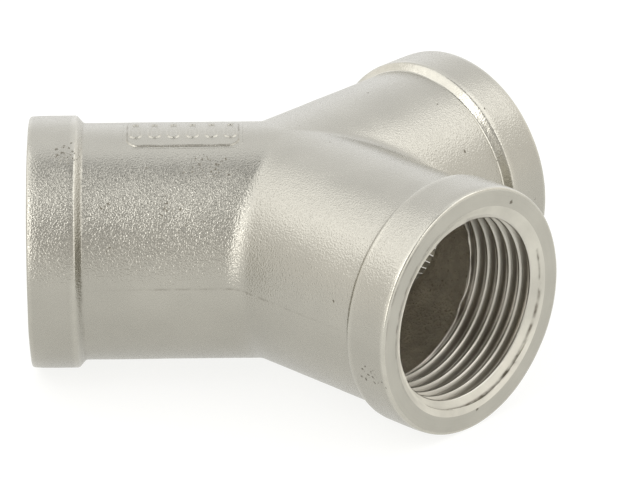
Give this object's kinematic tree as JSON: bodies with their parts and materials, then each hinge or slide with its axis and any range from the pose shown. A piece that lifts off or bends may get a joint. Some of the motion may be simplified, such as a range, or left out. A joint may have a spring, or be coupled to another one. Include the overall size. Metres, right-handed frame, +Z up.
{
  "type": "y-splitter fitting",
  "caption": "Cast stainless Y pipe fitting: a banded inlet splits into two branches at 90 degrees, each port tapped with a female pipe thread.",
  "frame": {"origin": "middle of the bounding box in plan, on the surface that the three end bands lie on", "axes": "+Z up and square to the plane of the three bores; the inlet points along -X; the branches leave towards +X, one to each side of it"},
  "size_m": [0.067, 0.0686, 0.0325],
  "materials": {
    "cast_stainless": "blasted investment casting in warm grey stainless steel, with machined end faces, mouths and tapped bores"
  },
  "bodies": {
    "root": {"fitting_body": "cast_stainless"}
  },
  "joints": []
}
